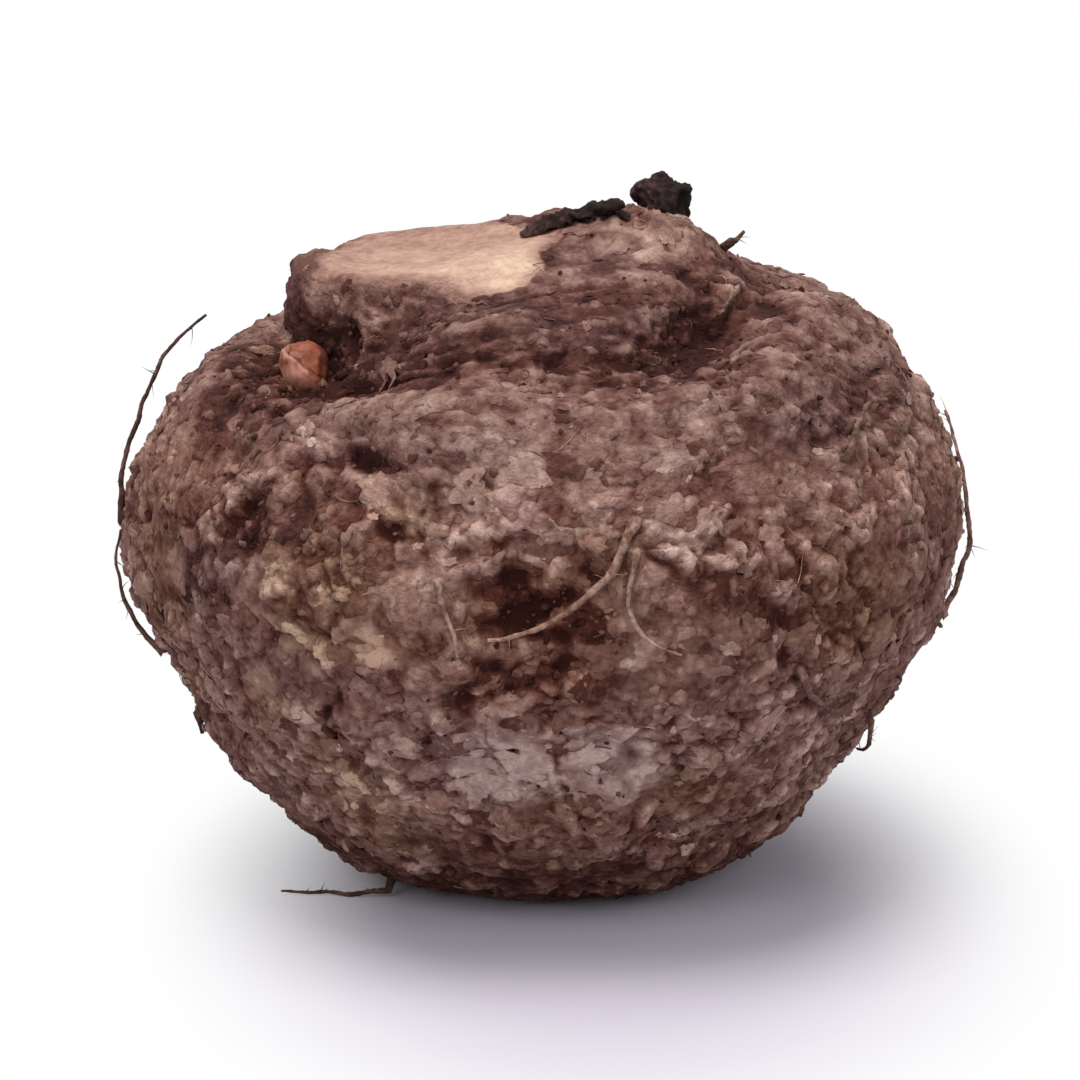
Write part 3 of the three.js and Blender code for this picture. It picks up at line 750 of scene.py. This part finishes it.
# ---- Roots ----
def centreline(node):
    """A CAD root's middle line, found by walking along the edges from its far end."""
    bm = joined(node)
    bm.verts.ensure_lookup_table()
    places = np.array([v.co for v in bm.verts])
    start = int(np.argmax(np.linalg.norm(places - places.mean(0), axis=1)))
    travelled = np.full(len(places), np.inf)
    travelled[start] = 0
    queue = [(0, start)]
    while queue:
        so_far, here = heapq.heappop(queue)
        for edge in bm.verts[here].link_edges:
            there = edge.other_vert(bm.verts[here]).index
            length = so_far + edge.calc_length()
            if length < travelled[there]:
                travelled[there] = length
                heapq.heappush(queue, (length, there))
    bm.free()
    share = travelled / travelled.max()
    pieces = max(4, round(travelled.max() / (4 * MM)))
    slots = np.minimum((share * pieces).astype(int), pieces - 1)
    return np.array([places[slots == k].mean(0) for k in range(pieces) if (slots == k).any()])


def resampled(line, step):
    """The same line with its corners rounded and its points about `step` apart."""
    for _ in range(3):
        cut = np.stack([line[:-1] * 0.75 + line[1:] * 0.25, line[:-1] * 0.25 + line[1:] * 0.75], 1)
        line = np.concatenate([line[:1], cut.reshape(-1, 3), line[-1:]])
    lengths = np.concatenate([[0], np.cumsum(np.linalg.norm(np.diff(line, axis=0), axis=1))])
    places = np.linspace(0, lengths[-1], max(8, round(lengths[-1] / step)))
    return np.stack([np.interp(places, lengths, line[:, k]) for k in range(3)], 1)


def tube(line, radii, sides, random):
    """Points and faces of a closed, slightly uneven tube along a line."""
    ahead = unit(np.gradient(line, axis=0))
    first = unit(np.cross(ahead[0], [0.3, 0.5, 0.8]))
    rims = []
    for place, forward, radius in zip(line, ahead, radii):
        first = unit(first - forward * (first @ forward))
        second = np.cross(forward, first)
        reach = radius * (1 + random.normal(0, 0.08, sides))
        rims.append(ring(place[None], first[None], second[None], reach[None], sides)[0])
    return np.concatenate(rims), tube_faces(len(line), sides)


def make_root(node, skin, random, thickest, tint):
    """A dry root along its CAD solid: thickest where it grew from the skin, crooked, with a few hairs."""
    step = 0.8 * MM
    line = resampled(centreline(node), step)
    gaps = np.linalg.norm(skin.drop(line[[0, -1]])[0] - line[[0, -1]], axis=1)
    if gaps[1] < gaps[0]:
        line = line[::-1]
    line = line + np.stack([0.5 * MM * layered(line, 8, 2, 71 + s) for s in range(3)], 1)
    t = np.linspace(0, 1, len(line))
    from_base = t * len(line) * step
    radii = thickest * (1.05 - 0.6 * t) * (1 + 0.2 * layered(line, 3, 2, 77))
    radii *= 1 + 0.4 * np.exp(-from_base / (2.5 * MM))
    inward = skin.drop(line[:1])[0][0] - line[0]
    line = np.concatenate([[line[0] + inward * 1.4], [line[0] + inward * 0.6], line])
    radii = np.concatenate([[radii[0] * 1.2, radii[0] * 1.1], radii])
    points, faces = tube(line, radii, 8, random)
    for _ in range(3 + len(line) // 12):
        start = random.integers(3, len(line) - 2)
        heading = unit(random.normal(0, 1, 3))
        reach = random.uniform(1.5, 5) * MM
        bend = unit(random.normal(0, 1, 3)) * reach * 0.3
        steps = np.linspace(0, 1, 5)[:, None]
        hair = line[start] + heading * reach * steps + bend * steps**2
        more, more_faces = tube(hair, 0.15 * MM * (1.1 - steps[:, 0]), 4, random)
        faces += [tuple(k + len(points) for k in face) for face in more_faces]
        points = np.concatenate([points, more])
    mesh = new_mesh(points, faces)
    paint(mesh, "tint", np.full(len(points), tint))
    return mesh


# ---- Bud and withered leaf ----
def make_bud():
    """The fresh bud: sheaths wound round each other, half sunk in its notch."""
    mesh = refined("side_bud", 3)
    points, normals = mesh_arrays(mesh)
    middle = points.mean(0)
    axis = np.linalg.svd(points - middle, full_matrices=False)[2][0]
    axis *= np.sign(axis[2])
    side = unit(np.cross(axis, [0, 1, 0]))
    other = np.cross(axis, side)
    along = (points - middle) @ axis
    t = (along - along.min()) / (along.max() - along.min())
    turn = np.arctan2((points - middle) @ other, (points - middle) @ side) / math.tau
    wound = (t * 0.85 + turn + 0.38 + 0.1 * layered(points, 6, 2, 85)) % 1
    veins = np.sin(turn * math.tau * 15 + t * 2) * 0.06 * smooth(0.95, 0.5, t)
    lumps = 0.6 * layered(points, 5, 2, 83)
    height = 0.6 * smooth(1, 0.92, wound) * wound**1.5 + veins + lumps - 0.3
    upper = 2 * t - 1
    stretched = (points - middle) * (1, 1.1, 1.2)
    stretched[:, 0] *= 1.2 + 0.24 * upper
    sunk = 0.9 + 1.7 * smooth(0.7, 1, t)
    moved = middle + stretched + normals * (height * MM)[:, None] - sunk[:, None] * axis * MM
    moved[:, 0] += (0.6 - 1.4 * upper) * MM
    set_points(mesh, moved)
    paint(mesh, "wound", wound)
    # The tone runs from the bud's foot to its upper end and shifts towards the darker end on its right side:
    # painted shade.
    paint(mesh, "tip", t + 0.22 * (moved - moved.mean(0))[:, 0] / np.ptp(moved[:, 0]) * 2)
    return mesh


def make_withered(node, rough, shift, widened, tilt, paler, seed):
    """A withered piece of leaf base: the CAD solid, crumpled, and paler round the `paler` places.

    It is widened by a share, its left end is lifted by `tilt` mm, and all of it is moved by `shift` mm."""
    mesh = refined(node, 2, WITHERED_STEP)
    points, normals = mesh_arrays(mesh)
    low, high = points.min(0), points.max(0)
    middle, half = (low + high) / 2, (high - low) / 2
    across, _, upward = ((points - middle) / half).T
    folds = 1 - np.abs(layered(points, 5, 3, seed)) * 2
    grain = layered(points, 1.8, 2, seed + 5)
    moved = points + normals * ((rough * (folds - 0.3) + 0.4 * grain) * MM)[:, None]
    moved[:, 0] += widened * across * half[0]
    moved[:, 2] += 0.32 * half[2] * smooth(0.2, 0.9, np.abs(across)) * smooth(-0.7, 0.2, upward)
    moved[:, 2] += tilt * MM * smooth(0.2, -1, across)
    set_points(mesh, moved + np.array(shift) * MM)
    # Tone: paler on the crests of the folds and darker in their creases, painted light and shade, and paler
    # towards the left end.
    raised = 0.15 + 0.2 * folds - 0.16 * across
    for place in paler:
        away = np.linalg.norm(moved / MM - place, axis=1)
        raised += 0.5 * np.exp(-((away / 4) ** 2))
    paint(mesh, "raised", np.clip(raised, 0, 1.1))
    return mesh


# ---- Materials ----
def srgb(red, green, blue):
    """A screen colour from 0 to 255 as the linear colour that a shader takes."""
    shares = [c / 255 for c in (red, green, blue)]
    return (*[c / 12.92 if c <= 0.04045 else ((c + 0.055) / 1.055) ** 2.4 for c in shares], 1)


class Nodes:
    """Builds a node tree. A value in it is a number, a socket or the name of numbers painted on the mesh."""

    def __init__(self, owner):
        owner.use_nodes = True
        self.tree = owner.node_tree

    def put(self, socket, value):
        if isinstance(value, str):
            value = self.add("Attribute", {}, attribute_name=value)["Fac"]
        if isinstance(value, bpy.types.NodeSocket):
            self.tree.links.new(value, socket)
        else:
            socket.default_value = value

    def add(self, kind, inputs, **settings):
        """Adds a node with these settings and inputs, and gives its outputs."""
        node = self.tree.nodes.new("ShaderNode" + kind)
        for name, value in settings.items():
            setattr(node, name, value)
        for key, value in inputs.items():
            self.put(node.inputs[key], value)
        return node.outputs

    def calculated(self, operation, a, b):
        return self.add("Math", {0: a, 1: b}, operation=operation)[0]

    def sum(self, first, *others):
        for other in others:
            first = self.calculated("ADD", first, other)
        return first

    def ramp(self, value, low, high, to_low=0, to_high=1):
        """Maps low..high to to_low..to_high, smoothly, and clamps."""
        reach = {"From Min": low, "From Max": high, "To Min": to_low, "To Max": to_high}
        return self.add("MapRange", {"Value": value, **reach}, interpolation_type="SMOOTHSTEP")["Result"]

    def shown(self, output, share, plain, other):
        """Shows one shader, and another instead of it by a share."""
        both = self.add("MixShader", {0: share, 1: plain, 2: other})[0]
        self.put(self.tree.nodes[output].inputs["Surface"], both)


class Surface(Nodes):
    """A material with its colours and bump."""

    def __init__(self, name, roughness, specular):
        self.material = bpy.data.materials.new(name)
        super().__init__(self.material)
        self.shader = self.tree.nodes["Principled BSDF"]
        self.put(self.shader.inputs["Roughness"], roughness)
        self.put(self.shader.inputs["Specular IOR Level"], specular)
        self.place = self.add("TexCoord", {})["Object"]

    def noise(self, cell, detail):
        """Noise from 0 to 1 with waves about `cell` millimetres across."""
        inputs = {"Scale": 1 / (cell * MM), "Detail": detail, "Vector": self.place}
        return self.add("TexNoise", inputs)["Fac"]

    def mottled(self, cell, detail, low, high):
        """Noise from low to high."""
        return self.ramp(self.noise(cell, detail), 0.3, 0.7, low, high)

    def grains(self, cell):
        """Small grains: how far each place is from a grain's middle, and the grain's own number."""
        found = self.add("TexVoronoi", {"Scale": 1 / (cell * MM), "Vector": self.place})
        return found["Distance"], self.add("SeparateColor", {"Color": found["Color"]})["Red"]

    def colours(self, value, places, *colours):
        """A ramp of screen colours at places from 0 to 1."""
        outputs = self.add("ValToRGB", {"Fac": value})
        band = outputs[0].node.color_ramp
        while len(band.elements) < len(places):
            band.elements.new(0.5)
        for element, place, colour in zip(band.elements, places, colours):
            element.position = place
            element.color = srgb(*colour)
        return outputs["Color"]

    def mixed(self, share, a, b, blend="MIX"):
        return self.add("Mix", {"Factor": share, 6: a, 7: b}, data_type="RGBA", blend_type=blend)[2]

    def bump(self, height, depth):
        normal = self.add("Bump", {"Strength": 1, "Distance": depth, "Height": height})["Normal"]
        self.put(self.shader.inputs["Normal"], normal)

    def colour(self, value):
        self.put(self.shader.inputs["Base Color"], value)
        return self.material


BARK_PLACES = (0.04, 0.28, 0.5, 0.72, 0.96)  # from the bottom of a crack to the top of a knob
BARK = BARK_PLACES, (50, 19, 12), (85, 50, 41), (117, 86, 76), (151, 121, 110), (194, 165, 152)
WARM_BARK = BARK_PLACES, (44, 12, 5), (80, 41, 30), (118, 78, 63), (150, 113, 96), (188, 153, 134)
GREY_BARK = BARK_PLACES, (49, 23, 22), (87, 56, 52), (122, 94, 87), (150, 124, 115), (184, 162, 150)
CUT_PLACES = (0, 0.25, 0.5, 0.75, 1)  # from the worn edge of the scar to its palest part, which is partly painted light
CUT = CUT_PLACES, (94, 62, 55), (138, 104, 94), (166, 133, 118), (187, 156, 138), (210, 184, 160)


def skin_material():
    """Bark, paler the more it stands out, with its paler, warmer and greyer regions and the cut scar.

    Its darker cracks and paler knob tops are partly the bark's own colour and partly painted shade and
    light.
    """
    nodes = Surface("yam_skin", roughness=0.93, specular=0.2)
    fleck = nodes.noise(1.4, 4)
    distance, number = nodes.grains(2.3)
    tone = nodes.sum(
        "raised",
        "pale",
        nodes.ramp(fleck, 0.3, 0.7, -0.06, 0.06),
        nodes.mottled(6, 3, -0.08, 0.08),
        nodes.ramp(number, 0, 1, -0.04, 0.04),
        nodes.ramp(distance, 0.1, 0.8, 0.03, -0.05),
    )
    reddened = nodes.ramp(nodes.noise(11, 3), 0.4, 0.7, 0, 0.3)
    wine = nodes.ramp(nodes.noise(16, 2), 0.42, 0.66)
    bark = nodes.mixed(reddened, nodes.colours(tone, *BARK), nodes.colours(tone, *WARM_BARK))
    bark = nodes.mixed(wine, bark, srgb(253, 245, 250), "MULTIPLY")
    bark = nodes.mixed("olive", bark, srgb(247, 249, 228), "MULTIPLY")
    bark = nodes.mixed("warm", bark, nodes.colours(tone, *WARM_BARK))
    bark = nodes.mixed("grey", bark, nodes.colours(tone, *GREY_BARK))

    # The cut face's tone: darker at its worn edge, mottled, and with painted light and shade across it
    lit = nodes.sum(
        nodes.ramp("scar", 0, 0.2, 0, 0.42),
        nodes.mottled(9, 3, 0, 0.26),
        nodes.mottled(2, 5, -0.1, 0.1),
        "scar_painted_light",
    )
    nodes.bump(nodes.sum(fleck, nodes.noise(0.7, 3), distance), 0.45 * MM)
    return nodes.colour(nodes.mixed(nodes.ramp("scar", 0, 0.03), bark, nodes.colours(lit, *CUT)))


def root_material():
    nodes = Surface("dry_root", roughness=0.85, specular=0.25)
    fine = nodes.noise(1.2, 4)
    tint = nodes.sum("tint", nodes.ramp(fine, 0.3, 0.7, -0.15, 0.15), nodes.mottled(5, 2, -0.25, 0.15))
    nodes.bump(fine, 0.25 * MM)
    return nodes.colour(nodes.colours(tint, (0, 0.4, 1), (60, 38, 32), (108, 78, 66), (186, 154, 138)))


def bud_material():
    """Orange-pink, paler at the foot, brown at its upper end and in the gaps between the sheaths.

    Its right side is darkened as painted shade, and the dark brown in the gaps under each sheath's edge is
    painted shade.
    """
    nodes = Surface("fresh_bud", roughness=0.55, specular=0.3)
    fine = nodes.noise(1.5, 3)
    mottled = nodes.ramp(nodes.noise(4, 3), 0.35, 0.65, -0.3, 0.3)
    foot_to_tip = (158, 106, 90), (120, 60, 38), (136, 72, 46), (88, 44, 30)
    fresh = nodes.colours(nodes.sum("tip", mottled), (0.2, 0.45, 0.8, 1), *foot_to_tip)
    wound = nodes.sum("wound", nodes.ramp(fine, 0.3, 0.7, -0.06, 0.06))
    nodes.bump(fine, 0.25 * MM)
    # Dark brown in the low gaps under each sheath's edge: painted shade.
    return nodes.colour(nodes.mixed(nodes.ramp(wound, 0.12, 0), fresh, srgb(84, 34, 22)))


def withered_material():
    nodes = Surface("withered_leaf", roughness=0.9, specular=0.2)
    fine = nodes.noise(1.2, 4)
    raised = nodes.sum("raised", nodes.ramp(fine, 0.3, 0.7, -0.15, 0.2))
    nodes.bump(fine, 0.4 * MM)
    return nodes.colour(nodes.colours(raised, (0, 0.4, 1), (18, 8, 9), (42, 26, 25), (104, 78, 78)))


# ---- Stage ----
def floor_material():
    """A grey floor that keeps the yam's shadow near it and runs out into white.

    Its grey colour and the oval where it turns white are painted shade: they set how dark and how far the
    shadow reaches.
    """
    nodes = Surface("floor", roughness=0.9, specular=0.1)
    oval = {"Vector": nodes.place, "Location": SHADOW_CENTRE, "Scale": SHADOW_REACH}
    squeezed = nodes.add("Mapping", oval, vector_type="TEXTURE")["Vector"]
    away = nodes.add("VectorMath", {0: squeezed}, operation="LENGTH")["Value"]
    seen = nodes.add("LightPath", {})["Is Camera Ray"]
    share = nodes.calculated("MULTIPLY", nodes.ramp(away, 0.45, 1.15), seen)
    white = nodes.add("Emission", {"Color": (1, 1, 1, 1)})[0]
    nodes.shown("Material Output", share, nodes.shader.outputs[0], white)
    # The grey floor colour paints the shadow near the yam darker: painted shade.
    return nodes.colour(srgb(188, 184, 197))


def make_floor():
    corners = [(-4, -4, 0), (4, -4, 0), (4, 4, 0), (-4, 4, 0)]
    mesh = new_mesh(corners, [(0, 1, 2, 3)])
    floor = placed("floor", mesh)
    floor.location.z = -0.05 * MM
    mesh.materials.append(floor_material())


def make_world():
    """White behind the yam, and a plainer white that lights it."""
    world = bpy.data.worlds.new("studio")
    bpy.context.scene.world = world
    nodes = Nodes(world)
    lit = nodes.add("Background", {"Color": (1, 0.985, 0.97, 1), "Strength": 0.6})[0]
    seen = nodes.add("Background", {"Color": (1, 1, 1, 1), "Strength": 1})[0]
    path = nodes.add("LightPath", {})
    share = nodes.calculated("MAXIMUM", path["Is Camera Ray"], path["Is Glossy Ray"])
    nodes.shown("World Output", share, lit, seen)


def make_lamps(middle):
    """Soft lamps that face the yam: each one's name, place, size, watts and colour."""
    for name, place, size, watts, colour in (
        ("overhead", (-0.1, -0.1, 1.5), 0.8, 18, (1, 0.98, 0.96)),
        ("front_left", (-0.9, -1.3, 1.1), 1, 9, (1, 0.99, 0.98)),
        ("front_right", (1.2, -1, 0.9), 0.9, 6, (1, 0.99, 0.98)),
    ):
        data = bpy.data.lights.new(name, "AREA")
        data.size = size
        data.energy = watts
        data.color = colour
        lamp = placed(name, data)
        lamp.location = place
        lamp.rotation_euler = (middle - Vector(place)).to_track_quat("-Z", "Y").to_euler()


def make_camera(middle, width):
    data = bpy.data.cameras.new("camera")
    camera = placed("camera", data)
    bpy.context.scene.camera = camera
    back = Vector((0, -math.cos(VIEW_ELEVATION), math.sin(VIEW_ELEVATION)))
    camera.location = middle + back * VIEW_DISTANCE
    camera.rotation_euler = (-back).to_track_quat("-Z", "Y").to_euler()
    data.lens = data.sensor_width * VIEW_DISTANCE * VIEW_SHARE / width


# ---- Assembly ----
def seeded(number):
    return np.random.default_rng(SEED + number)


bpy.context.scene.view_settings.view_transform = "Standard"
low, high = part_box("corm")
middle = (low + high) / 2
make_camera(middle, high.x - low.x)
make_world()
make_lamps(middle)
make_floor()

MATERIALS = {
    "skin": skin_material(),
    "root": root_material(),
    "bud": bud_material(),
    "dead_leaf": withered_material(),
}
skin_mesh, look = make_skin()
skin = Skin(skin_mesh, look)
add_piece("corm_skin", thinned(skin_mesh, SKIN_TRIANGLES), "skin", ["corm"])

off_scar = 1 - smooth(0, 0.02, look["scar"])
off_ground = smooth(2 * MM, 9 * MM, skin.points[:, 2])
rough_bark = off_scar * off_ground * (1 - 0.85 * look["calm"])
all_bark = rough_bark + 0.1 * off_scar
crumbly = off_scar * (0.02 + np.clip(look["sunk"] / 3, 0, 1) + 0.1 * look["neck"] * (1 - look["calm"]) ** 2)
on_rim = sum(smooth(2.8, 1, from_line(skin.points, line)) for line in TORN_RIMS)

CORK = {
    "bark_plates": make_cork(PLATE, skin, seeded(7), 900, 6 * MM, all_bark, (0.03, 0.09), grid=6),
    "bark_scales": make_cork(PLATE, skin, seeded(1), 1900, 3.4 * MM, rough_bark, (0.04, 0.09), grid=5),
    "bark_chips": make_cork(FLAKE, skin, seeded(2), 3600, 1.7 * MM, all_bark, (0.06, 0.12), grid=4),
    "bark_knobs": make_cork(KNOB, skin, seeded(3), 3600, 2.0 * MM, rough_bark, (0.02, 0.07), grid=4),
}
for name, mesh in CORK.items():
    add_piece(name, mesh, "skin", crease=LENS_CREASE)
add_piece("rootlets", make_rootlets(skin, seeded(4), 260, 8 * MM, 0.36 * MM, off_scar * off_ground), "root")
stumps = make_stumps(skin, seeded(5), 80, off_scar * off_ground * (1 - look["neck"]))
add_piece("root_stumps", stumps, "root")
add_piece("soil_crumbs", make_crumbs(skin, seeded(6), 700, 1.3 * MM, crumbly, (0.1, 0.42)), "skin")
for number, (name, (radius, tint)) in enumerate(ROOTS.items()):
    node = "root_" + name
    root = make_root(node, skin, seeded(20 + number), radius * MM, tint)
    add_piece("dry_" + node, root, "root", [node])

add_piece("fresh_bud", make_bud(), "bud", ["side_bud"])
stub = make_withered("leaf_base_stub", 1.2, (-1.2, 0, -1.3), -0.04, 0, [(25, 1, 172)], 101)
add_piece("withered_leaf_base", stub, "dead_leaf", ["leaf_base_stub"])
pale_spots = [(-6, 3, 162), (9, 4, 163)]
sheath = make_withered("leaf_sheath_rim", 1.3, (-1, -3.5, -1.6), 0.08, 0.6, pale_spots, 111)
add_piece("withered_sheath", sheath, "dead_leaf", ["leaf_sheath_rim"])
shreds = make_cork(SHRED, skin, seeded(8), 60, 3.2 * MM, on_rim, (-0.3, 0.1), grid=5)
add_piece("withered_shreds", shreds, "dead_leaf", crease=LENS_CREASE)
